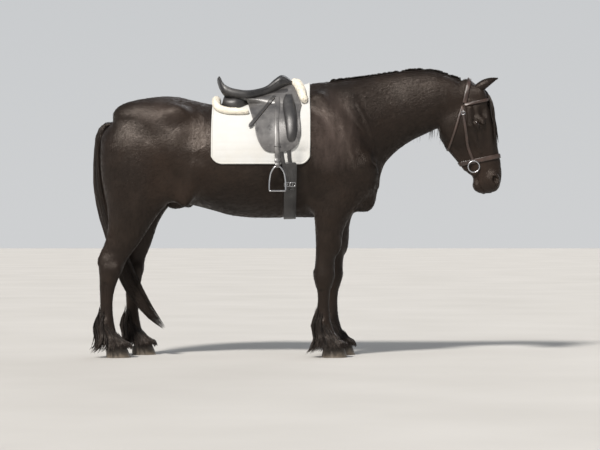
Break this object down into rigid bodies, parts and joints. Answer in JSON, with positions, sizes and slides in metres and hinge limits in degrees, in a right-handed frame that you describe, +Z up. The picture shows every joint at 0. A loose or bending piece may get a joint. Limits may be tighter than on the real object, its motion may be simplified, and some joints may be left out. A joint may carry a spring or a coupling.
{
  "type": "friesian horse",
  "caption": "Life-size standing black draught-type riding horse with long mane, tail and leg feather, in a dressage saddle, quilted pad and bridle; a still model with no joints.",
  "frame": {"origin": "centre of the bounding box at floor level", "axes": "+X towards the head, +Y to the horse's left, +Z up"},
  "size_m": [2.4092, 0.726, 1.6926],
  "materials": {
    "coat": null,
    "long_hair": null,
    "horn": null,
    "eye": null,
    "saddle_leather": "smooth black leather, slightly worn",
    "bridle_leather": "dark brown leather",
    "quilt": "white quilted cotton",
    "fleece": "cream fleece",
    "steel": "polished stainless steel"
  },
  "bodies": {
    "root": {"head": "coat", "neck": "coat", "torso": "coat", "right_ear": "coat", "right_foreleg": "coat", "right_hindleg": "coat", "left_ear": "coat", "left_foreleg": "coat", "left_hindleg": "coat", "right_eye": "eye", "right_fore_hoof": "horn", "right_fore_feather": "long_hair", "right_hind_hoof": "horn", "right_hind_feather": "long_hair", "right_saddle_flap": "saddle_leather", "right_knee_block": "saddle_leather", "right_saddle_panel": "saddle_leather", "right_stirrup_leather": "saddle_leather", "right_cheekpiece": "bridle_leather", "right_stirrup_iron": "steel", "right_bit_ring": "steel", "left_eye": "eye", "left_fore_hoof": "horn", "left_fore_feather": "long_hair", "left_hind_hoof": "horn", "left_hind_feather": "long_hair", "left_saddle_flap": "saddle_leather", "left_knee_block": "saddle_leather", "left_saddle_panel": "saddle_leather", "left_stirrup_leather": "saddle_leather", "left_cheekpiece": "bridle_leather", "left_stirrup_iron": "steel", "left_bit_ring": "steel", "saddle_seat": "saddle_leather", "girth": "saddle_leather", "bridle_crown": "bridle_leather", "browband": "bridle_leather", "throatlatch": "bridle_leather", "noseband": "bridle_leather", "mane": "long_hair", "forelock": "long_hair", "tail": "long_hair", "tail_end": "long_hair", "saddle_pad": "quilt", "pad_roll_rear": "fleece", "pad_roll_front": "fleece"}
  },
  "joints": []
}
